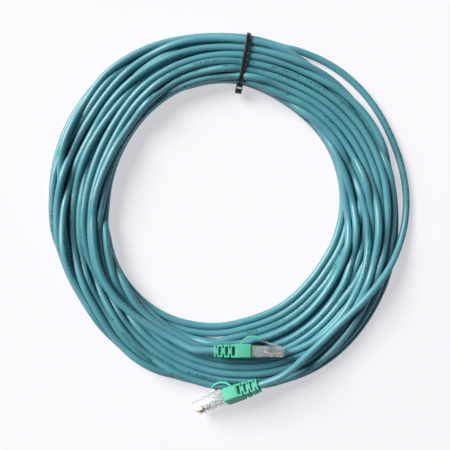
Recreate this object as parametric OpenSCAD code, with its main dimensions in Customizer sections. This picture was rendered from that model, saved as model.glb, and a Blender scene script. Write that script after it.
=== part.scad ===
// Coiled network patch cable: a long round jacket wound into a ring and held by
// one cable tie, with a clear eight-way plug and a slip-on boot at each end.
// Millimetres. Z is up, the ring lies flat on z = 0.
// Each plug is drawn in its own frame: +X is the way it goes into a socket, +Z is
// the latch side, Y is its width, and the origin is on the cable's axis at its back face.

/* [Cable] */
// Outer diameter of the jacket
cable_d = 5.0; // [4.8:0.1:5.2]
// Sides of the tubes that stand for the loose ends
tube_sides = 10; // [8:1:12]

/* [Coil] */
// Outer radius of the wound ring
coil_outer_r = 125; // [120:1:128]
// Radius of the hole in the ring
coil_hole_r = 83.5; // [80:0.5:86]
// Height of the ring
coil_h = 14; // [13:0.5:15]
// Height of the lowest turns at the outer edge
coil_edge_h = 5; // [4:0.5:6]
// Width of the slope from the lowest turns to the top
coil_slope_w = 9; // [7:0.5:11]

/* [Plug] */
// Width of the plug
plug_w = 11.68; // [11.6:0.01:11.7]
// Length of the plug
plug_len = 22.5; // [22:0.1:23]
// Height from the cable's axis to the contact side
plug_base = 4.1; // [4:0.05:4.2]
// Height from the cable's axis to the latch side, at the back
plug_back_top = 4.1; // [4:0.05:4.2]
// Height from the cable's axis to the latch side, at the nose
plug_nose_top = 2.8; // [2.7:0.05:2.9]
// Distance between neighbouring contacts
contact_pitch = 1.02; // [1.0:0.01:1.04]
// Thickness of a contact blade
contact_t = 0.3; // [0.25:0.01:0.32]

/* [Latch] */
// Width of the latch at its shoulders
latch_w = 6.0; // [5.8:0.1:6.2]
// Width of the latch's thumb lever
lever_w = 3.6; // [3.2:0.1:4]
// Thickness of the latch
latch_t = 1.0; // [0.8:0.05:1]

/* [Boot] */
// Width of the boot's box
boot_w = 13.2; // [12.8:0.1:13.6]
// Height of the boot's box
boot_h = 9.4; // [9:0.1:9.6]
// Length of the boot's box
boot_box_len = 10; // [9:0.5:11]
// Length of the ribbed tail
boot_tail_len = 15; // [14:0.5:15]
// Width of a slot in the ribbed tail
boot_slot = 2.2; // [2.0:0.1:2.4]
// How far the boot slides back along the cable
boot_travel = 8; // [6:1:8]
// Width of the hood over the latch
hood_w = 10; // [9:0.5:10.5]
// Thickness of the hood
hood_t = 1.3; // [1.1:0.1:1.4]

/* [Tie] */
// Width of the tie's strap
tie_w = 2.8; // [2.5:0.1:3.2]
// Thickness of the tie's strap
tie_t = 1.2; // [1:0.1:1.3]

/* [Hidden] */
ENDS = ["a", "b"];
WIRES = 8;

$fn = 48;
over = 1;           // how far a cutting shape runs past the face it cuts
gap = 0.4;          // between the boot and the plug's back face

cable_r = cable_d / 2;
coil_centre = [-3, 9.5, 0];
hole_centre = [-2, 15.5, 0];

// The bundle where the tie squeezes it: its width, height and corners, and the gap
// between the strap's edges and the turns beside it
tie_room_w = 34.4;
tie_room_h = 15.4;
tie_room_r = 5;
tie_gap = 0.2;

// Where each plug lies: its origin, and its roll, pitch and yaw
place_a = [-2, -121, 14.2];
turn_a = [118, 10.5, 201.5];
place_b = [15.8, -87.6, 21.4];
turn_b = [-97, 0, 0];

// Along a plug, from its back face: cable, wires and contacts
jacket_in = 8.5;
wires_fan_end = 11.8;
wires_end = 21;
wire_r = 0.38;
wire_z = -1.6;
contact_from = 17.6;
contact_to = 21.2;
contact_low = -3.75;
contact_high = -1.3;
hinge_x = 20.6;
hinge_z = 3.0;
lever_tip_x = 5.3;
lever_tip_z = 7.2;
shoulder_x = 13;
boot_tail_end = -gap - boot_box_len - boot_tail_len;
straight_end = boot_tail_end - boot_travel - 0.5;

// The hood is an arc over the latch's tip: its middle line's centre and radius
hood_x = 1.4;
hood_z = 0.5;
hood_r = 9.4;
hood_root_x = -6.9;
hood_root_z = 4.9;
hood_tip_x = 6.6;

// Loose end a, from behind boot a over the ring, down to the floor and back to the ring
route_a = [
    [28.9, -108.8, 20.4], [34.5, -106.6, 21.4], [41, -102.6, 21.4], [48.5, -96.6, 20],
    [56.5, -89.6, 18.2], [64.5, -82.4, 17], [72, -75.2, 16.6], [79, -68.2, 16.6],
    [86.5, -61.2, 16.6], [93.7, -54.2, 16.4], [100.8, -46.6, 15.6], [107.5, -38.6, 13.6],
    [113.6, -29.8, 11], [118.8, -20.2, 8.2], [122.8, -9.9, 5.4], [125.6, 1, 3.4],
    [126.8, 12, 2.5], [126.5, 23, 2.5], [124.9, 34, 2.5], [122.2, 44.8, 2.5],
    [118.5, 55.3, 2.5], [114.2, 65.5, 2.5], [109.1, 75.3, 2.5], [103.2, 84.6, 2.5],
    [96.3, 93.3, 2.5], [88.5, 101.2, 2.5], [80, 108.1, 2.5], [70.8, 114, 2.6],
    [61, 118.6, 3], [51, 122.2, 4], [41, 124.6, 5.4]];

// Loose end b, from behind boot b down onto the ring and into its turns
route_b = [
    [-18, -87.6, 21.4], [-23.5, -86.8, 20.8], [-29.5, -84.6, 19.2], [-36, -81.4, 17.6],
    [-43, -77.8, 16.7], [-51, -73.2, 16.5], [-59, -68.2, 16.5], [-67, -62.4, 16.5],
    [-74.5, -55.8, 16.5], [-81, -48, 16.5], [-86.4, -39.4, 16.5], [-90, -30.2, 16.5],
    [-92.4, -20, 16.4], [-93.9, -9, 15.8], [-94.3, 3, 14.6], [-93.6, 15, 13],
    [-91.4, 27, 11.4]];

// ---- Sweep along a route -------------------------------------------------------

function unit(v) = v / norm(v);
function along(path, i) = unit(path[min(i + 1, len(path) - 1)] - path[max(i - 1, 0)]);
function side(t) = unit(cross(t, [0, 0, 1]));
function ring_at(p, t, r, n) =
    let (s = side(t), u = cross(s, t))
    [for (k = [0:n - 1]) p + r * (cos(360 * k / n) * s + sin(360 * k / n) * u)];

module tube(path, r, n) {
    m = len(path);
    points = [for (i = [0:m - 1]) each ring_at(path[i], along(path, i), r, n)];
    walls = [for (i = [0:m - 2]) for (k = [0:n - 1])
        each [[i * n + k, (i + 1) * n + (k + 1) % n, i * n + (k + 1) % n],
              [i * n + k, (i + 1) * n + k, (i + 1) * n + (k + 1) % n]]];
    caps = [[for (k = [0:n - 1]) k], [for (k = [0:n - 1]) m * n - 1 - k]];
    polyhedron(points = points, faces = concat(walls, caps));
}

// ---- Shared shapes -------------------------------------------------------------

// A rectangle with round corners, centred
module round_rect(w, h, r) {
    square([w - 2 * r, h], center = true);
    square([w, h - 2 * r], center = true);
    for (x = [-1, 1]) for (y = [-1, 1])
        translate([x * (w / 2 - r), y * (h / 2 - r)]) circle(r);
}

// A solid with the side outline given in X and Z, centred on Y
module across(w) {
    translate([0, w / 2, 0]) rotate([90, 0, 0]) linear_extrude(w) children();
}

// A solid with the end outline given in Y and Z, from x0 to x1
module lengthways(x0, x1) {
    translate([x0, 0, 0]) rotate([90, 0, 90]) linear_extrude(x1 - x0) children();
}

// A box from one corner to the other
module block(a, b) {
    translate(a) cube(b - a);
}

module at_end(e) {
    translate(e == "a" ? place_a : place_b) rotate(e == "a" ? turn_a : turn_b) children();
}

module at_tie() {
    translate([11.5, 115.6, 0]) rotate([0, 0, -10.5]) children();
}

// ---- Coil and loose ends -------------------------------------------------------

// The bundle's outline where the tie squeezes it, in the tie's own frame
module tie_room(grow) {
    translate([0, tie_t + tie_room_h / 2])
        round_rect(tie_room_w + 2 * grow, tie_room_h + 2 * grow, tie_room_r + grow);
}

// Room for plug a and its boot, which lie against the ring's outer edge
module plug_room() {
    w = boot_w + 1;
    h = boot_h + 1;
    block([boot_tail_end - boot_travel, -w / 2, -h / 2 - over], [plug_len + 4, w / 2, h / 2]);
    block([hood_root_x - boot_travel - 3, -hood_w / 2 - 1, 0],
          [hood_tip_x + 3, hood_w / 2 + 1, hood_z + hood_r + 2.5]);
}

module cable_coil() {
    r = coil_outer_r;
    color("cadetblue") difference() {
        translate(coil_centre) rotate_extrude($fn = 96) polygon([
            [0, 0], [r, 0], [r, coil_edge_h], [r - coil_slope_w, coil_h], [0, coil_h]]);
        translate(hole_centre - [0, 0, over]) cylinder(h = coil_h + 2 * over, r = coil_hole_r, $fn = 96);
        at_tie() rotate([90, 0, 90]) translate([0, 0, -tie_w / 2 - tie_gap])
            linear_extrude(tie_w + 2 * tie_gap) difference() {
                square([2 * tie_room_w, 4 * coil_h], center = true);
                tie_room(0);
            }
        at_end("a") plug_room();
    }
}

module tail_a() {
    color("cadetblue") tube(route_a, cable_r, tube_sides);
}

module tail_b() {
    color("cadetblue") tube(route_b, cable_r, tube_sides);
}

module cable_tie() {
    head_l = 5.6;
    head_w = 4.6;
    head_h = 5;
    head_z = 7.4;
    wall = -tie_room_w / 2 - tie_t;
    color("black") at_tie() {
        rotate([90, 0, 90]) translate([0, 0, -tie_w / 2]) linear_extrude(tie_w) difference() {
            tie_room(tie_t);
            tie_room(0);
        }
        difference() {
            translate([-head_w / 2, wall - head_l, head_z - head_h / 2]) cube([head_w, head_l + tie_t / 2, head_h]);
            translate([-tie_w / 2 - 0.2, wall - 2.6, 0]) cube([tie_w + 0.4, 1.6, 2 * head_z]);
        }
    }
}

// ---- Plug ----------------------------------------------------------------------

// The clear body: cavity for the jacket, channel for the wires, a slot for each blade
module plug_body() {
    cavity_w = 8.8;
    cavity_h = 5.8;
    cavity_end = 12;
    channel_end = 21.3;
    channel_low = -2.1;
    channel_high = -1.1;
    channel_w = WIRES * contact_pitch + 0.2;
    top_step = 17.6;
    color("aliceblue", 0.5) difference() {
        across(plug_w) polygon([
            [0, -plug_base], [plug_len - 0.6, -plug_base], [plug_len, -plug_base + 0.6],
            [plug_len, plug_nose_top], [top_step, plug_nose_top], [0, plug_back_top]]);
        block([-over, -cavity_w / 2, -cavity_h / 2], [cavity_end, cavity_w / 2, cavity_h / 2]);
        block([cavity_end - over, -channel_w / 2, channel_low], [channel_end, channel_w / 2, channel_high]);
        for (i = [1:WIRES])
            block([contact_from - 0.2, wire_y(i) - contact_t / 2 - 0.02, -plug_base - over],
                  [contact_to + 0.2, wire_y(i) + contact_t / 2 + 0.02, channel_low + over / 2]);
        block([3, -3.3, -plug_base - over], [7.6, 3.3, 0]);
        block([12.9, -channel_w / 2, -plug_base - over], [15.1, channel_w / 2, channel_low + over / 2]);
        block([14, -latch_w / 2 - 0.3, plug_nose_top - 0.6], [hinge_x, latch_w / 2 + 0.3, plug_back_top]);
        translate([hinge_x, 0, hinge_z]) rotate([90, 0, 0])
            cylinder(h = latch_w + 0.6, r = latch_t / 2 + 0.1, center = true);
    }
}

function wire_y(i) = (i - (WIRES + 1) / 2) * contact_pitch;

// The latch: a round root, wide shoulders and a narrower thumb lever with grip ridges
module latch() {
    slope = atan2(lever_tip_z - hinge_z, hinge_x - lever_tip_x);
    lever_len = norm([hinge_x - lever_tip_x, lever_tip_z - hinge_z]);
    shoulder_len = (hinge_x - shoulder_x) / cos(slope);
    color("aliceblue", 0.6) translate([hinge_x, 0, hinge_z]) {
        rotate([90, 0, 0]) cylinder(h = latch_w, r = latch_t / 2, center = true);
        rotate([0, slope, 0]) {
            block([-shoulder_len, -latch_w / 2, -latch_t / 2], [0, latch_w / 2, latch_t / 2]);
            block([-lever_len, -lever_w / 2, -latch_t / 2], [-shoulder_len + over, lever_w / 2, latch_t / 2]);
            for (k = [0:2]) translate([-lever_len + 1 + 1.1 * k, 0, latch_t / 2])
                rotate([90, 0, 0]) cylinder(h = lever_w, r = 0.2, center = true);
        }
    }
}

// Eight gilt blades; two teeth on each pierce the wire above it
module contacts() {
    tooth = 0.6;
    color("goldenrod") for (i = [1:WIRES]) translate([0, wire_y(i), 0]) {
        block([contact_from, -contact_t / 2, contact_low], [contact_to, contact_t / 2, wire_z - wire_r]);
        for (x = [contact_from + 0.5, contact_to - 0.5 - tooth])
            block([x, -contact_t / 2, contact_low + over], [x + tooth, contact_t / 2, contact_high]);
    }
}

// The bar that is pressed down on the jacket to hold it
module jacket_clamp() {
    color("aliceblue", 0.6) across(6) polygon([
        [3.3, -cable_r], [3.3, -3.2], [5, -3.9], [7.3, -3.9], [7.3, -cable_r]]);
}

// The smaller bar that is pressed down on the wires
module wire_clamp() {
    color("aliceblue", 0.6) across(WIRES * contact_pitch - 0.1) polygon([
        [13.1, wire_z - wire_r], [13.1, -3.2], [13.6, -3.8], [14.9, -3.8], [14.9, wire_z - wire_r]]);
}

// The cable through the boot, with a straight stretch for the boot to slide on
module jacket_end() {
    color("cadetblue") lengthways(straight_end, jacket_in) circle(cable_r);
}

// One wire, from the jacket's end out to its own blade
module wire(i) {
    tone = ["orange", "darkorange", "lightgreen", "royalblue", "lightblue", "green", "tan", "sienna"];
    from = [jacket_in + 0.1, (i - (WIRES + 1) / 2) * 0.6, i % 2 == 0 ? 0.5 : -0.5];
    knee = [wires_fan_end, wire_y(i), wire_z];
    color(tone[i - 1]) tube([from, from + [0.6, 0, 0], knee, [wires_end, wire_y(i), wire_z]], wire_r, 8);
}

// ---- Boot ----------------------------------------------------------------------

// A box that meets the plug, and a ribbed tail that can bend: its slots go in turn
// through the sides and through the top and bottom
module boot() {
    corner = 1.2;
    tail_from = -gap - boot_box_len;
    tail_w = [12.4, 8.6];
    tail_h = [9, 7.8];
    bridge = 3.4;
    rail = 0.8;
    running_gap = 0.1;
    pocket = [4, 9.6, 6.2];
    slot_step = (boot_tail_len - 1) / 3;
    web = 0.73;
    notch = slot_step - boot_slot - 2 * web;
    color("mediumaquamarine") difference() {
        union() {
            lengthways(tail_from, -gap) round_rect(boot_w, boot_h, corner);
            intersection() {
                translate([0, 0, -boot_h]) linear_extrude(2 * boot_h) polygon([
                    [tail_from, -tail_w[0] / 2], [tail_from, tail_w[0] / 2],
                    [boot_tail_end, tail_w[1] / 2], [boot_tail_end, -tail_w[1] / 2]]);
                across(2 * boot_w) polygon([
                    [tail_from, -tail_h[0] / 2], [tail_from, tail_h[0] / 2],
                    [boot_tail_end, tail_h[1] / 2], [boot_tail_end, -tail_h[1] / 2]]);
            }
        }
        lengthways(boot_tail_end - over, over) circle(cable_r + running_gap);
        block([-gap - pocket[0], -pocket[1] / 2, -pocket[2] / 2], [over, pocket[1] / 2, pocket[2] / 2]);
        for (k = [0:2]) translate([tail_from - 0.6 - slot_step * k - boot_slot, 0, 0]) {
            slot_h = tail_h[1] - 2 * rail;
            for (s = [-1, 1]) translate([0, s * boot_w / 2, 0])
                block([0, -boot_w / 2 + cable_r, -slot_h / 2], [boot_slot, boot_w / 2 - cable_r, slot_h / 2]);
            for (s = [-1, 1]) translate([-web - notch, 0, s * (bridge / 2 + boot_h / 2)])
                block([0, -boot_w / 2 - over, -boot_h / 2], [notch, boot_w / 2 + over, boot_h / 2]);
        }
        translate([hood_root_x, 0, hood_root_z]) rotate([90, 0, 0])
            cylinder(h = hood_w + 0.6, r = hood_t / 2 + 0.15, center = true);
    }
}

// The springy hood that arches over the latch and is pressed with it
module boot_hood() {
    root_turn = atan2(hood_root_z - hood_z, hood_root_x - hood_x);
    tip_turn = acos((hood_tip_x - hood_x) / hood_r);
    color("mediumaquamarine") {
        translate([hood_x, hood_w / 2, hood_z]) rotate([90, 0, 0]) linear_extrude(hood_w) intersection() {
            difference() {
                circle(hood_r + hood_t / 2);
                circle(hood_r - hood_t / 2);
            }
            polygon([[0, 0], 2 * hood_r * [cos(tip_turn), sin(tip_turn)], [0, 2 * hood_r],
                     2 * hood_r * [cos(root_turn), sin(root_turn)]]);
        }
        translate([hood_root_x, 0, hood_root_z]) rotate([90, 0, 0])
            cylinder(h = hood_w, r = hood_t / 2, center = true);
    }
}

// ---- Assembly ------------------------------------------------------------------

cable_coil();
tail_a();
tail_b();
cable_tie();
for (e = ENDS) {
    at_end(e) plug_body();
    at_end(e) latch();
    at_end(e) contacts();
    at_end(e) jacket_clamp();
    at_end(e) wire_clamp();
    at_end(e) jacket_end();
    at_end(e) boot();
    at_end(e) boot_hood();
    for (i = [1:WIRES])
        at_end(e) wire(i);
}
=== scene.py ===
import math

import bpy
import numpy as np
from mathutils import Matrix, Vector


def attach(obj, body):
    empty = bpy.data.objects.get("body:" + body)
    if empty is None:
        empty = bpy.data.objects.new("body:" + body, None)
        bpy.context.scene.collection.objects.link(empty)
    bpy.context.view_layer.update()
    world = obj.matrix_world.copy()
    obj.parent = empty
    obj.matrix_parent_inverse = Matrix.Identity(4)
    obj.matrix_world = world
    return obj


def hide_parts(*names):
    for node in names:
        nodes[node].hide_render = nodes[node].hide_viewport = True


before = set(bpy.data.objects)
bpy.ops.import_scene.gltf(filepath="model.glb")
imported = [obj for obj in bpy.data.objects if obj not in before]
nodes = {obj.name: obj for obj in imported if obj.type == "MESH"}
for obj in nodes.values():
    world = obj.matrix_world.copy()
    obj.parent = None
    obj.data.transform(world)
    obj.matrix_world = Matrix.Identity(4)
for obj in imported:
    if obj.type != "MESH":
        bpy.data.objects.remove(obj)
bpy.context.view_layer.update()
scene = bpy.context.scene
ends = ("a", "b")

# ---- Camera --------------------------------------------------------------------
# A camera on a copy stand, looking straight down at the ring from a little over
# half a metre, with a lens that just takes the whole ring in.
camera_place = (-0.0021, -0.0009, 0.6)
bpy.ops.object.camera_add(location=camera_place, rotation=(0, 0, 0))
scene.camera = bpy.context.object
scene.camera.data.sensor_width = 36
scene.camera.data.lens = 67.2

# ---- Jacket: the wound turns and the two loose ends ----------------------------
# A nominal fifteen metres of round PVC jacket, wound by hand into a flat ring of twenty-two turns.
# Each turn is laid on the last, the tie squeezes them at the far side, and an end with
# its plug comes away over the near side at either hand.
mm = 0.001
cable_d = 5.0
cable_r = cable_d / 2
ring_centre = np.array([-0.7, 11.7])
stations = 180          # places round one turn
tie_bearing = 6.5       # degrees clockwise from +Y
tie_width = 7.0         # degrees either way that the tie's squeeze reaches
tie_floor = 1.2         # the strap beneath the bundle lifts it by this
tie_top = 16.6          # the strap holds the bundle below this
layer_z = 5.6           # height of one layer before the pile settles
laid_on_top = 2.7       # turns above this layer are the ones that keep to their lies

# The bundle's inner and outer edge, every 30 degrees clockwise from +Y
inner_edge = [88.0, 83.3, 82.2, 79.8, 76.3, 77.0, 80.8, 86.4, 86.8, 83.3, 83.6, 87.1]
outer_edge = [121.4, 118.3, 119.7, 121.8, 127.8, 132.6, 128.8, 126.4, 123.2, 126.7, 129.5, 128.4]

# Each turn's place across the bundle, from 0 at its inner edge to 1 at its outer edge, and
# the layer that it lies in, both at 0, 60, 120, 180, 240 and 300 degrees
first_turns = [
    ([0.10, 0.30, 0.50, 0.40, 0.37, 0.05], [3.4, 3.4, 3.4, 3.4, 3.4, 3.2]),
    ([0.21, 0.61, 0.77, 0.89, 0.41, 0.15], [3.0, 3.0, 2.0, 3.0, 2.8, 3.0]),
    ([0.39, 0.765, 0.805, 0.99, 0.53, 0.285], [3.1, 3.1, 3.1, 3.1, 3.1, 3.1]),
    ([0.57, 1.00, 1.00, 1.00, 0.68, 0.36], [3.2, 3.0, 1.2, 2.0, 3.0, 1.6])]
last_turns = [
    ([0.40, 0.05, 0.25, 0.31, 0.10, 0.20], [2.0, 2.0, 3.0, 3.0, 2.0, 1.5]),
    ([0.30, 0.00, 0.405, 0.44, 0.05, 0.10], [2.0, 2.8, 3.0, 3.0, 2.0, 2.0]),
    ([0.10, 0.13, 0.62, 0.545, 0.08, 0.00], [2.0, 3.0, 3.0, 3.0, 2.0, 2.0]),
    ([0.03, 0.28, 0.67, 0.66, 0.15, 0.00], [2.0, 3.0, 2.8, 3.0, 2.4, 3.0]),
    ([0.035, 0.45, 0.71, 0.77, 0.25, 0.28], [3.0, 3.0, 3.0, 3.0, 2.2, 2.0]),
    ([0.50, 0.42, 0.50, 0.54, 0.80, 0.90], [2.0, 1.5, 1.5, 1.5, 1.5, 2.8]),
    ([1.00, 0.93, 0.67, 0.74, 1.00, 0.735], [2.4, 1.6, 1.6, 1.6, 3.0, 3.0]),
    ([0.95, 0.80, 0.58, 0.64, 0.92, 0.81], [2.8, 1.6, 1.6, 1.6, 2.0, 2.4]),
    ([0.90, 0.67, 0.76, 0.83, 0.95, 0.55], [1.2, 1.6, 1.6, 1.6, 3.0, 3.0]),
    ([0.755, 1.00, 0.86, 0.92, 0.79, 0.43], [3.0, 2.6, 1.9, 2.0, 3.0, 2.0]),
    ([0.66, 0.50, 0.24, 0.30, 0.75, 1.00], [1.6, 1.5, 1.2, 1.1, 0.8, 0.5])]
bottom_turns = 7
last_lie, last_layer = 1.0, 0.8

# The loose ends' routes, in millimetres: the same points as the loose tubes of the model
route_a = [
    [28.9, -108.8, 20.4], [34.5, -106.6, 21.4], [41, -102.6, 21.4], [48.5, -96.6, 20],
    [56.5, -89.6, 18.2], [64.5, -82.4, 17], [72, -75.2, 16.6], [79, -68.2, 16.6],
    [86.5, -61.2, 16.6], [93.7, -54.2, 16.4], [100.8, -46.6, 15.6], [107.5, -38.6, 13.6],
    [113.6, -29.8, 11], [118.8, -20.2, 8.2], [122.8, -9.9, 5.4], [125.6, 1, 3.4],
    [126.8, 12, 2.5], [126.5, 23, 2.5], [124.9, 34, 2.5], [122.2, 44.8, 2.5],
    [118.5, 55.3, 2.5], [114.2, 65.5, 2.5], [109.1, 75.3, 2.5], [103.2, 84.6, 2.5],
    [96.3, 93.3, 2.5], [88.5, 101.2, 2.5], [80, 108.1, 2.5], [70.8, 114, 2.6],
    [61, 118.6, 3], [51, 122.2, 4], [41, 124.6, 5.4]]
route_b = [
    [-18, -87.6, 21.4], [-23.5, -86.8, 20.8], [-29.5, -84.6, 19.2], [-36, -81.4, 17.6],
    [-43, -77.8, 16.7], [-51, -73.2, 16.5], [-59, -68.2, 16.5], [-67, -62.4, 16.5],
    [-74.5, -55.8, 16.5], [-81, -48, 16.5], [-86.4, -39.4, 16.5], [-90, -30.2, 16.5],
    [-92.4, -20, 16.4], [-93.9, -9, 15.8], [-94.3, 3, 14.6], [-93.6, 15, 13],
    [-91.4, 27, 11.4]]


def smooth_line(points, per_span):
    """Points along a Catmull-Rom curve through the given ones."""
    p = np.array(points, float)
    p = np.vstack([2 * p[0] - p[1], p, 2 * p[-1] - p[-2]])
    t = np.linspace(0, 1, per_span, endpoint=False)[:, None]
    parts = []
    for a, b, c, d in zip(p[:-3], p[1:-2], p[2:-1], p[3:]):
        parts.append(0.5 * (2 * b + (c - a) * t + (2 * a - 5 * b + 4 * c - d) * t ** 2
                            + (3 * b - a - 3 * c + d) * t ** 3))
    parts.append(p[-2:-1])
    return np.vstack(parts)


def round_the_ring(bearing, values):
    """A smooth closed curve through values that are given every 30 degrees."""
    closed = list(values[-1:]) + list(values) + list(values[:2])
    line = smooth_line([[v] for v in closed], 30)[:, 0]
    return np.interp(np.mod(bearing, 360), np.arange(len(line)) - 30, line)


def by_bearing(points, bearings):
    """Radius and height of a route where it crosses the given bearings, and its own span."""
    line = smooth_line(points, 12)
    flat = line[:, :2] - ring_centre
    bearing = np.degrees(np.arctan2(flat[:, 0], flat[:, 1])) % 360
    order = np.argsort(bearing)
    radius = np.hypot(flat[:, 0], flat[:, 1])
    return (np.interp(bearings, bearing[order], radius[order]),
            np.interp(bearings, bearing[order], line[order, 2]), bearing[order][0], bearing[order][-1])


# The whole wound path as one row of places, from loose end b to loose end a
step = 360 / stations
chance = np.random.default_rng(7)
rows = list(first_turns)
for k in range(bottom_turns):
    across = 0.88 * (1 - (k + 0.5) / bottom_turns)
    lie_there = [float(np.clip(across + chance.uniform(-0.03, 0.03), 0, 1)) for _ in range(6)]
    rows.append((lie_there, [0.0] * 6))
rows += last_turns
lies = sum([r[0] for r in rows], []) + [last_lie, last_lie]
layers = sum([r[1] for r in rows], []) + [last_layer, last_layer]
_, _, b_from, b_to = by_bearing(route_b, [0])
_, _, a_from, a_to = by_bearing(route_a, [0])
first = int(math.ceil(b_from / step))
last = int(math.floor((360 * len(rows) + a_to) / step))
index = np.arange(first, last + 1)
bearing = index * step
fine = smooth_line([[v] for v in lies], 30)[:, 0]
lie = np.clip(np.interp(bearing, np.arange(len(fine)) * 2.0, fine), 0, 1)
layer = np.interp(bearing, 60.0 * np.arange(len(layers)), layers)
low_r = round_the_ring(bearing, inner_edge) + cable_r
high_r = round_the_ring(bearing, outer_edge) - cable_r
high_r += np.interp(bearing - 360 * len(rows), [-30, 15], [0, 3.8])     # end a leaves the bundle
want_r = low_r + (high_r - low_r) * lie
place_r = want_r.copy()
place_z = cable_r + layer_z * layer + 0.02 * index / stations

# The loose ends keep to their routes
on_b = bearing <= b_to - 12
r_b, z_b, _, _ = by_bearing(route_b, bearing[on_b])
place_r[on_b], place_z[on_b] = r_b, z_b
on_a = bearing >= 360 * len(rows) + a_from
r_a, z_a, _, _ = by_bearing(route_a, bearing[on_a] - 360 * len(rows))
place_r[on_a], place_z[on_a] = r_a, z_a
free = ~(on_b | on_a)
loose = np.where(layer > laid_on_top, 0.35, 1.0)
home = np.where(layer > laid_on_top, 1.0, 0.15)
laid_z = place_z.copy()

# Each turn is pushed clear of the others, pulled down by its weight and kept smooth by
# its stiffness, until the pile has settled
turns = int(math.ceil((last + 1) / stations))
grid = np.full((turns, stations), -1)
grid[index // stations, index % stations] = np.arange(len(index))
there = grid >= 0
both = there[:, None, :] & there[None, :, :] & ~np.eye(turns, dtype=bool)[:, :, None]
squeeze = np.exp(-((np.mod(bearing - tie_bearing + 180, 360) - 180) / tie_width) ** 2)
floor_z = cable_r + squeeze * tie_floor
roof_z = tie_top - cable_r + (1 - squeeze) * 25


samples = 8192          # length of the line that is eased, more than all the places
waves = np.arange(samples // 2 + 1) * 2 * math.pi / samples
push_share = 0.25       # part of an overlap that is undone in one round


def stiffened(values, shortest):
    """The same line with its short waves eased out, as a stiff cable would have it."""
    size = len(values)
    ramp = np.linspace(values[0], values[-1], size)
    odd = values - ramp
    line = np.zeros(samples)
    line[:size] = odd
    short = 1 / (1 + 0.02 * (waves * shortest / (2 * math.pi)) ** 4)
    eased = np.fft.irfft(np.fft.rfft(line) * short, samples)[:size]
    return ramp + eased


def clearances():
    """How far apart each two turns are at each bearing: outwards, upwards and in all."""
    r = np.where(there, place_r[grid], 0)
    z = np.where(there, place_z[grid], 0)
    dr = r[None, :, :] - r[:, None, :]
    dz = z[None, :, :] - z[:, None, :]
    return dr, dz, np.hypot(dr, dz) + 1e-6


def settle(rounds, weight, pull, wave_r, wave_z, lift=(0, 0)):
    """Let the pile settle. The loose ends are lifted by the first value, and the second at the end."""
    global place_r, place_z
    for k in range(rounds):
        place_z[~free] = laid_z[~free] + lift[0] + (lift[1] - lift[0]) * k / rounds
        dr, dz, far = clearances()
        over = np.where(both & (far < cable_d), cable_d - far, 0)
        move_r = np.zeros_like(place_r)
        move_z = np.zeros_like(place_z)
        move_r[grid[there]] = ((over * dr / far).sum(axis=0) * push_share)[there]
        move_z[grid[there]] = ((over * dz / far).sum(axis=0) * push_share)[there]
        move_r = np.clip(move_r, -0.3, 0.3) * loose + pull * home * (want_r - place_r)
        move_z = np.clip(move_z, -0.4, 0.4) - weight
        place_r[free] += move_r[free]
        place_z[free] += move_z[free]
        place_z[free] = np.clip(place_z, floor_z, roof_z)[free]
        new_r = stiffened(place_r, wave_r)
        new_z = stiffened(place_z, wave_z)
        place_r[free] = np.clip(new_r, low_r, high_r)[free]
        place_z[free] = np.clip(new_z, floor_z, roof_z)[free]


settle(400, 0.06, 0.05, 18, 10, lift=(16, 16))      # the turns fall, with the loose ends held up
settle(400, 0.06, 0.05, 18, 10, lift=(16, 0))       # the loose ends are laid on top
settle(600, 0.04, 0.04, 18, 10)
settle(200, 0.02, 0.03, 16, 9)
around = np.radians(bearing)
ring_path = np.column_stack([ring_centre[0] + place_r * np.sin(around),
                             ring_centre[1] + place_r * np.cos(around), place_z])

# How each plug lies: its origin at the back of the clear body, and its roll, pitch and yaw
plug_places = {"a": ((-2, -121, 14.2), (118, 10.5, 201.5)), "b": ((15.8, -87.6, 21.4), (-97, 0, 0))}
straight_end = -33.9    # along the plug, where the cable is straight again behind the boot
jacket_in = 8.5         # how far the jacket goes into the plug


def plug_matrix(end):
    place, turn = plug_places[end]
    roll, pitch, yaw = (Matrix.Rotation(math.radians(v), 4, axis) for v, axis in zip(turn, "XYZ"))
    return Matrix.Translation(Vector(place) * mm) @ yaw @ pitch @ roll


def straight_run(end):
    """The cable through boot and plug, from the open stretch to the jacket's cut end."""
    return np.array([plug_matrix(end) @ Vector((x * mm, 0, 0))
                     for x in np.linspace(straight_end, jacket_in, 16)]) / mm


def bridge(start, way_out, end, way_in, count):
    """Places on a smooth curve from one stretch of cable to the next."""
    span = np.linalg.norm(end - start)
    t = np.linspace(0, 1, count + 2)[1:-1, None]
    way_out = way_out / np.linalg.norm(way_out)
    way_in = way_in / np.linalg.norm(way_in)
    return ((2 * t ** 3 - 3 * t ** 2 + 1) * start + (t ** 3 - 2 * t ** 2 + t) * span * way_out
            + (3 * t ** 2 - 2 * t ** 3) * end + (t ** 3 - t ** 2) * span * way_in)


line_a, line_b = straight_run("a"), straight_run("b")
wound = ring_path[3:-3]
cable_path = np.vstack([
    line_b[::-1],
    bridge(line_b[0], line_b[0] - line_b[1], wound[0], wound[1] - wound[0], 4),
    wound,
    bridge(wound[-1], wound[-1] - wound[-2], line_a[0], line_a[1] - line_a[0], 4),
    line_a])
laid = len(line_b) + 4                  # where the wound stretch starts in the whole path
along = np.concatenate([[0], np.cumsum(np.linalg.norm(np.diff(cable_path, axis=0), axis=1))])

# The legend runs along the jacket, which turns slowly as it is wound. Each pair here is a
# turn number and how far round from the top the legend lies there, in turns
legend_places = [(2.00, 0.985), (2.15, 0.03), (11.42, 0.0), (12.42, 0.02), (13.3, 0.98), (18.76, 0.0),
             (1.52, 0.0), (20.64, 0.0), (7.5, 0.5)]
turn_number = (first + 3 + np.arange(len(wound))) / stations


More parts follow.
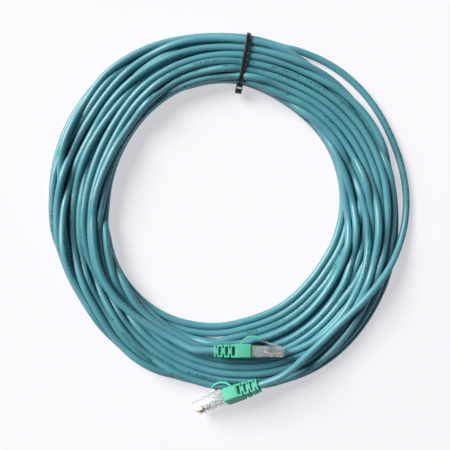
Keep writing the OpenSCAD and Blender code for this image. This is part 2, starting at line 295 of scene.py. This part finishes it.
def legend_side(turn):
    """How far round the jacket the legend is from the top, in turns."""
    side = 0.42 * np.sin(2 * np.pi * (turn * 0.61 + 0.17)) + 0.5
    for place, aim in legend_places:
        near = np.exp(-((turn - place) / 0.16) ** 2)
        aim = aim - 1 if aim > 0.75 else aim
        side = side * (1 - near) + aim * near
    return side


twist = np.concatenate([np.full(laid, 0.3), legend_side(turn_number),
                        np.full(len(cable_path) - laid - len(wound), 0.35)])
twist = np.convolve(np.pad(twist, 12, mode="edge"), np.hanning(25) / np.hanning(25).sum(), mode="valid")


def sleeve(name, path, radius, sides, along_mm, turn_by):
    """A closed tube along the path. Its UV map holds metres along it and turns around it."""
    ahead = np.gradient(path, axis=0)
    ahead /= np.linalg.norm(ahead, axis=1)[:, None]
    sideways = np.cross(ahead, [0, 0, 1.0])
    sideways /= np.linalg.norm(sideways, axis=1)[:, None]
    upwards = np.cross(sideways, ahead)
    angle = 2 * np.pi * np.arange(sides) / sides
    rings = path[:, None, :] + radius * (np.cos(angle)[None, :, None] * sideways[:, None, :]
                                         + np.sin(angle)[None, :, None] * upwards[:, None, :])
    i = np.repeat(np.arange(len(path) - 1), sides)
    k = np.tile(np.arange(sides), len(path) - 1)
    k2 = (k + 1) % sides
    walls = np.column_stack([i * sides + k2, (i + 1) * sides + k2, (i + 1) * sides + k, i * sides + k])
    caps = [list(range(sides))[::-1], [(len(path) - 1) * sides + s for s in range(sides)]]
    mesh = bpy.data.meshes.new(name)
    mesh.from_pydata((rings.reshape(-1, 3) * mm).tolist(), [], walls.tolist() + caps)
    mesh.uv_layers.new(name="UVMap")
    uv = np.zeros((len(mesh.loops), 2))
    metres = along_mm * mm
    uv[:walls.size, 0] = np.column_stack([metres[i], metres[i + 1], metres[i + 1], metres[i]]).ravel()
    uv[:walls.size, 1] = np.column_stack([
        (k + 1) / sides - turn_by[i], (k + 1) / sides - turn_by[i + 1],
        k / sides - turn_by[i + 1], k / sides - turn_by[i]]).ravel()
    mesh.uv_layers["UVMap"].data.foreach_set("uv", uv.ravel())
    mesh.polygons.foreach_set("use_smooth", [True] * len(walls) + [False, False])
    return mesh


jacket = bpy.data.objects.new("jacket", sleeve("jacket", cable_path, cable_r, 16, along, twist + 0.25))
scene.collection.objects.link(jacket)


def wire_up(tree, joins):
    """Join sockets of a node tree: (from node, its output, to node, its input)."""
    for source, output, target, socket in joins:
        tree.links.new(source.outputs[output], target.inputs[socket])


def make_grain():
    """Fine grain and light scuffs from handling, for every moulded or extruded plastic here."""
    group = bpy.data.node_groups.new("handled_plastic", "ShaderNodeTree")
    face = group.interface
    face.new_socket("Vector", in_out="INPUT", socket_type="NodeSocketVector")
    for name, value in (("Grain Scale", 4000.0), ("Scuff Scale", 90.0), ("Roughness", 0.4), ("Wear", 0.12)):
        face.new_socket(name, in_out="INPUT", socket_type="NodeSocketFloat").default_value = value
    for name in ("Roughness", "Height", "Scuff"):
        face.new_socket(name, in_out="OUTPUT", socket_type="NodeSocketFloat")
    new = group.nodes.new
    given, given_back = new("NodeGroupInput"), new("NodeGroupOutput")
    grain, scuff = new("ShaderNodeTexNoise"), new("ShaderNodeTexNoise")
    grain.inputs["Detail"].default_value = 2
    scuff.inputs["Detail"].default_value = 6
    scuff.inputs["Distortion"].default_value = 0.6
    worn = new("ShaderNodeMapRange")
    worn.inputs["From Min"].default_value = 0.5
    worn.inputs["From Max"].default_value = 0.75
    by_wear, rougher = new("ShaderNodeMath"), new("ShaderNodeMath")
    by_wear.operation, rougher.operation = "MULTIPLY", "ADD"
    wire_up(group, [
        (given, "Vector", grain, "Vector"), (given, "Grain Scale", grain, "Scale"),
        (given, "Vector", scuff, "Vector"), (given, "Scuff Scale", scuff, "Scale"),
        (scuff, "Fac", worn, "Value"), (worn, "Result", by_wear, 0), (given, "Wear", by_wear, 1),
        (given, "Roughness", rougher, 0), (by_wear, "Value", rougher, 1),
        (rougher, "Value", given_back, "Roughness"), (grain, "Fac", given_back, "Height"),
        (by_wear, "Value", given_back, "Scuff")])
    return group


handled_plastic = make_grain()


def jacket_pvc():
    """Teal PVC: faint die lines along it, a soft lay of the pairs beneath, a printed legend."""
    material = bpy.data.materials.new("jacket_pvc")
    material.use_nodes = True
    tree = material.node_tree
    new = tree.nodes.new
    skin = tree.nodes["Principled BSDF"]
    skin.inputs["Specular IOR Level"].default_value = 0.5
    skin.inputs["Coat Weight"].default_value = 0.2
    skin.inputs["Coat Roughness"].default_value = 0.38
    place, split = new("ShaderNodeUVMap"), new("ShaderNodeSeparateXYZ")
    place.uv_map = "UVMap"
    solid = new("ShaderNodeTexCoord")
    grain = new("ShaderNodeGroup")
    grain.node_tree = handled_plastic
    for socket, value in (("Grain Scale", 2600), ("Scuff Scale", 60), ("Roughness", 0.34), ("Wear", 0.16)):
        grain.inputs[socket].default_value = value
    tone = new("ShaderNodeTexNoise")
    tone.inputs["Scale"].default_value = 9
    tone.inputs["Detail"].default_value = 3
    shade = new("ShaderNodeMix")
    shade.data_type = "RGBA"
    shade.inputs["A"].default_value = (0.075, 0.275, 0.335, 1)
    shade.inputs["B"].default_value = (0.095, 0.315, 0.385, 1)

    def sum_of(kind, first_value, second_value=None):
        node = new("ShaderNodeMath")
        node.operation = kind
        for socket, value in enumerate((first_value, second_value)):
            if isinstance(value, (int, float)):
                node.inputs[socket].default_value = value
            elif value is not None:
                tree.links.new(value, node.inputs[socket])
        return node.outputs["Value"]

    wire_up(tree, [(place, "UV", split, "Vector"), (solid, "Object", grain, "Vector"),
                   (solid, "Object", tone, "Vector"), (tone, "Fac", shade, "Factor")])
    metres, turn = split.outputs["X"], split.outputs["Y"]
    # The legend: rows of short marks of changing width, in words with gaps between them
    off_line = sum_of("ABSOLUTE", sum_of("SUBTRACT", sum_of("FRACT", sum_of("ADD", turn, 0.5)), 0.5))
    cell = sum_of("MULTIPLY", metres, 1 / 0.0017)
    chance_of = new("ShaderNodeTexWhiteNoise")
    chance_of.noise_dimensions = "1D"
    word_of = new("ShaderNodeTexWhiteNoise")
    word_of.noise_dimensions = "1D"
    tree.links.new(sum_of("FLOOR", cell), chance_of.inputs["W"])
    tree.links.new(sum_of("FLOOR", sum_of("MULTIPLY", cell, 0.22)), word_of.inputs["W"])
    width = sum_of("MULTIPLY", chance_of.outputs["Value"], 0.62)
    mark = sum_of("LESS_THAN", sum_of("FRACT", cell), width)
    in_word = sum_of("GREATER_THAN", word_of.outputs["Value"], 0.22)
    on_line = sum_of("LESS_THAN", off_line, 0.052)
    in_run = sum_of("LESS_THAN", sum_of("FRACT", sum_of("MULTIPLY", metres, 1 / 0.61)), 0.78)
    ink = sum_of("MULTIPLY", sum_of("MULTIPLY", mark, in_word), sum_of("MULTIPLY", on_line, in_run))
    printed = new("ShaderNodeMix")
    printed.data_type = "RGBA"
    printed.inputs["B"].default_value = (0.012, 0.03, 0.035, 1)
    tree.links.new(sum_of("MULTIPLY", ink, 0.85), printed.inputs["Factor"])
    # The lay of the four pairs shows as a slow helix, and the die leaves fine lines
    lay = sum_of("SINE", sum_of("ADD", sum_of("MULTIPLY", metres, 2 * math.pi / 0.021),
                                sum_of("MULTIPLY", turn, 4 * math.pi)))
    lines = sum_of("SINE", sum_of("MULTIPLY", turn, 2 * math.pi * 23))
    relief = sum_of("ADD", sum_of("MULTIPLY", lay, 0.5),
                    sum_of("ADD", sum_of("MULTIPLY", lines, 0.05),
                           sum_of("MULTIPLY", grain.outputs["Height"], 0.25)))
    bump = new("ShaderNodeBump")
    bump.inputs["Strength"].default_value = 0.35
    bump.inputs["Distance"].default_value = 0.0001
    tree.links.new(relief, bump.inputs["Height"])
    wire_up(tree, [(shade, "Result", printed, "A"), (printed, "Result", skin, "Base Color"),
                   (grain, "Roughness", skin, "Roughness"), (bump, "Normal", skin, "Normal")])
    return material


jacket.data.materials.append(jacket_pvc())
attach(jacket, "root")
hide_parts("cable_coil", "tail_a", "tail_b", "jacket_end_a", "jacket_end_b")

# ---- Clear plugs ---------------------------------------------------------------
# Each plug is one clear polycarbonate moulding with room for the jacket and the wires.
# Two bars in it are pressed down, one on the jacket and one on the wires.


def moulded(node_name, piece_name, body, finish, edge, steps=2, angle=30):
    """The node's own shape with the small edge radius of a moulding, as a new piece."""
    bpy.ops.object.select_all(action="DESELECT")
    piece = bpy.data.objects.new(piece_name, nodes[node_name].data.copy())
    scene.collection.objects.link(piece)
    bpy.context.view_layer.objects.active = piece
    piece.select_set(True)
    bpy.ops.object.mode_set(mode="EDIT")
    bpy.ops.mesh.select_all(action="SELECT")
    bpy.ops.mesh.remove_doubles(threshold=1e-6)
    bpy.ops.mesh.dissolve_limited(angle_limit=math.radians(0.05))
    bpy.ops.object.mode_set(mode="OBJECT")
    rounding = piece.modifiers.new("edge", "BEVEL")
    rounding.width = edge * mm
    rounding.segments = steps
    rounding.limit_method = "ANGLE"
    rounding.angle_limit = math.radians(angle)
    bpy.ops.object.modifier_apply(modifier="edge")
    bpy.ops.object.shade_smooth_by_angle(angle=math.radians(35))
    piece.data.materials.clear()
    piece.data.materials.append(finish)
    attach(piece, body)
    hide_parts(node_name)
    return piece


def clear_polycarbonate(name, alpha):
    material = bpy.data.materials.new(name)
    material.use_nodes = True
    tree = material.node_tree
    new = tree.nodes.new
    glass = tree.nodes["Principled BSDF"]
    glass.inputs["Base Color"].default_value = (0.93, 0.95, 0.97, 1)
    glass.inputs["IOR"].default_value = 1.33
    glass.inputs["Transmission Weight"].default_value = 0.8
    glass.inputs["Alpha"].default_value = alpha
    solid, grain, bump = new("ShaderNodeTexCoord"), new("ShaderNodeGroup"), new("ShaderNodeBump")
    grain.node_tree = handled_plastic
    for socket, value in (("Grain Scale", 900), ("Scuff Scale", 260), ("Roughness", 0.1), ("Wear", 0.1)):
        grain.inputs[socket].default_value = value
    bump.inputs["Strength"].default_value = 0.12
    bump.inputs["Distance"].default_value = 0.00005
    wire_up(tree, [(solid, "Object", grain, "Vector"), (grain, "Height", bump, "Height"),
                   (grain, "Roughness", glass, "Roughness"), (bump, "Normal", glass, "Normal")])
    return material


polycarbonate = clear_polycarbonate("clear_polycarbonate", 0.75)
plug_pieces = {end: [] for end in ends}
for end in ends:
    plug_pieces[end].append(moulded("plug_body_" + end, "plug_shell_" + end, "root",
                                    polycarbonate, 0.15))
    for bar in ("jacket_clamp_", "wire_clamp_"):
        plug_pieces[end].append(moulded(bar + end, bar + "bar_" + end, "root",
                                        polycarbonate, 0.1))

# ---- Latches -------------------------------------------------------------------
# The latch is a springy tongue of the same clear plastic that bends at its root near the
# nose. Its wide shoulders catch in the socket, and its lever lies under the boot's hood.
for end in ends:
    plug_pieces[end].append(moulded("latch_" + end, "latch_tongue_" + end, "latch_" + end,
                                    polycarbonate, 0.12))

# ---- Wires ---------------------------------------------------------------------
# Eight insulated wires fan out from the jacket's cut end and lie side by side up to the
# nose. Four are whole colours, and four are white with a stripe of their pair's colour.
pair_colours = {"orange": (0.80, 0.22, 0.02, 1), "green": (0.03, 0.30, 0.09, 1),
                "blue": (0.03, 0.12, 0.50, 1), "brown": (0.16, 0.06, 0.02, 1)}
wire_order = ["orange_white", "orange", "green_white", "blue",
              "blue_white", "green", "brown_white", "brown"]


def insulation(name):
    colour = pair_colours[name.split("_")[0]]
    material = bpy.data.materials.new("insulation_" + name)
    material.use_nodes = True
    tree = material.node_tree
    new = tree.nodes.new
    skin = tree.nodes["Principled BSDF"]
    solid, grain, mix = new("ShaderNodeTexCoord"), new("ShaderNodeGroup"), new("ShaderNodeMix")
    grain.node_tree = handled_plastic
    for socket, value in (("Grain Scale", 5000), ("Scuff Scale", 700), ("Roughness", 0.35), ("Wear", 0.1)):
        grain.inputs[socket].default_value = value
    mix.data_type = "RGBA"
    mix.inputs["A"].default_value = (0.85, 0.84, 0.80, 1) if "white" in name else colour
    mix.inputs["B"].default_value = colour if "white" in name else tuple(0.8 * c for c in colour[:3]) + (1,)
    stripe = new("ShaderNodeTexWave")
    stripe.inputs["Scale"].default_value = 300
    stripe.inputs["Distortion"].default_value = 2
    wire_up(tree, [(solid, "Object", grain, "Vector"), (solid, "Object", stripe, "Vector"),
                   (stripe, "Fac", mix, "Factor"), (mix, "Result", skin, "Base Color"),
                   (grain, "Roughness", skin, "Roughness")])
    return material


insulations = {name: insulation(name) for name in wire_order}
for end in ends:
    for i, name in enumerate(wire_order, start=1):
        wire = nodes["wire_%d_%s" % (i, end)]
        wire.data.materials.clear()
        wire.data.materials.append(insulations[name])
        plug_pieces[end].append(wire)

# ---- Contacts ------------------------------------------------------------------
# Eight blades of phosphor bronze, gilt on the edge that meets the socket. Each is pressed
# down until its two teeth go through the insulation.


def gilt():
    material = bpy.data.materials.new("gilt_bronze")
    material.use_nodes = True
    tree = material.node_tree
    new = tree.nodes.new
    metal = tree.nodes["Principled BSDF"]
    metal.inputs["Metallic"].default_value = 1
    solid, grain, mix = new("ShaderNodeTexCoord"), new("ShaderNodeGroup"), new("ShaderNodeMix")
    grain.node_tree = handled_plastic
    for socket, value in (("Grain Scale", 9000), ("Scuff Scale", 900), ("Roughness", 0.22), ("Wear", 0.3)):
        grain.inputs[socket].default_value = value
    mix.data_type = "RGBA"
    mix.inputs["A"].default_value = (0.90, 0.58, 0.22, 1)
    mix.inputs["B"].default_value = (0.72, 0.33, 0.12, 1)
    wire_up(tree, [(solid, "Object", grain, "Vector"), (grain, "Height", mix, "Factor"),
                   (mix, "Result", metal, "Base Color"), (grain, "Roughness", metal, "Roughness")])
    return material


gilt_bronze = gilt()
for end in ends:
    blades = nodes["contacts_" + end]
    blades.data.materials.clear()
    blades.data.materials.append(gilt_bronze)
    plug_pieces[end].append(blades)

# ---- Boots and hoods -----------------------------------------------------------
# The boot is soft mint-green PVC, slipped on the cable: a box against the plug and a tail
# that is slotted so that it bends. Its hood arches over the latch and is pressed with it.


def mint_pvc():
    material = bpy.data.materials.new("mint_pvc")
    material.use_nodes = True
    tree = material.node_tree
    new = tree.nodes.new
    skin = tree.nodes["Principled BSDF"]
    skin.inputs["Specular IOR Level"].default_value = 0.2
    skin.inputs["Subsurface Weight"].default_value = 0.15
    skin.inputs["Subsurface Radius"].default_value = (0.001, 0.002, 0.0015)
    skin.inputs["Subsurface Scale"].default_value = 1
    solid, grain, mix, bump = (new("ShaderNodeTexCoord"), new("ShaderNodeGroup"), new("ShaderNodeMix"),
                               new("ShaderNodeBump"))
    grain.node_tree = handled_plastic
    for socket, value in (("Grain Scale", 2500), ("Scuff Scale", 180), ("Roughness", 0.55), ("Wear", 0.15)):
        grain.inputs[socket].default_value = value
    mix.data_type = "RGBA"
    mix.inputs["A"].default_value = (0.095, 0.47, 0.335, 1)
    mix.inputs["B"].default_value = (0.15, 0.55, 0.41, 1)
    bump.inputs["Strength"].default_value = 0.25
    bump.inputs["Distance"].default_value = 0.0001
    wire_up(tree, [(solid, "Object", grain, "Vector"), (grain, "Height", bump, "Height"),
                   (grain, "Scuff", mix, "Factor"), (mix, "Result", skin, "Base Color"),
                   (grain, "Roughness", skin, "Roughness"), (bump, "Normal", skin, "Normal")])
    return material


soft_mint = mint_pvc()
for end in ends:
    plug_pieces[end].append(moulded("boot_" + end, "boot_shell_" + end, "boot_" + end,
                                    soft_mint, 0.3, steps=3))
    plug_pieces[end].append(moulded("boot_hood_" + end, "hood_arch_" + end, "hood_" + end,
                                    soft_mint, 0.25, steps=3))

# ---- Cable tie -----------------------------------------------------------------
# A thin nylon strap round the whole bundle, pulled tight through its own head on the
# inner side of the ring.


def nylon():
    material = bpy.data.materials.new("black_nylon")
    material.use_nodes = True
    tree = material.node_tree
    new = tree.nodes.new
    skin = tree.nodes["Principled BSDF"]
    solid, grain, mix, bump = (new("ShaderNodeTexCoord"), new("ShaderNodeGroup"), new("ShaderNodeMix"),
                               new("ShaderNodeBump"))
    grain.node_tree = handled_plastic
    for socket, value in (("Grain Scale", 3000), ("Scuff Scale", 400), ("Roughness", 0.32), ("Wear", 0.25)):
        grain.inputs[socket].default_value = value
    mix.data_type = "RGBA"
    mix.inputs["A"].default_value = (0.016, 0.008, 0.009, 1)
    mix.inputs["B"].default_value = (0.10, 0.05, 0.055, 1)
    bump.inputs["Strength"].default_value = 0.3
    bump.inputs["Distance"].default_value = 0.0001
    wire_up(tree, [(solid, "Object", grain, "Vector"), (grain, "Height", bump, "Height"),
                   (grain, "Scuff", mix, "Factor"), (mix, "Result", skin, "Base Color"),
                   (grain, "Roughness", skin, "Roughness"), (bump, "Normal", skin, "Normal")])
    return material


moulded("cable_tie", "tie_strap", "root", nylon(), 0.2)

# ---- Floor and lights ----------------------------------------------------------
# A white table that glows a little from within, soft daylight from a window at the upper
# left, and a dim room around.
bpy.ops.mesh.primitive_plane_add(size=4, location=(0, 0, -0.0003))
floor = bpy.context.object
floor.name = "floor"
floor_paint = bpy.data.materials.new("floor_paint")
floor_paint.use_nodes = True
glowing_table = floor_paint.node_tree.nodes["Principled BSDF"]
glowing_table.inputs["Base Color"].default_value = (0.36, 0.35, 0.37, 1)
glowing_table.inputs["Roughness"].default_value = 0.7
glowing_table.inputs["Emission Color"].default_value = (0.97, 0.96, 1.0, 1)
glowing_table.inputs["Emission Strength"].default_value = 0.56
floor.data.materials.append(floor_paint)
world = bpy.data.worlds.new("world")
scene.world = world
world.use_nodes = True
world.node_tree.nodes["Background"].inputs["Color"].default_value = (0.84, 0.86, 1.0, 1)
world.node_tree.nodes["Background"].inputs["Strength"].default_value = 0.15
window = (-0.66, 0.46, 0.62)    # where the window is, as a direction
bpy.ops.object.light_add(type="SUN", location=window,
                         rotation=Vector(window).to_track_quat("Z", "Y").to_euler())
daylight = bpy.context.object.data
daylight.energy = 5.0
daylight.angle = math.radians(34)
daylight.color = (1.0, 0.99, 0.93)
scene.view_settings.view_transform = "Standard"
scene.view_settings.look = "None"
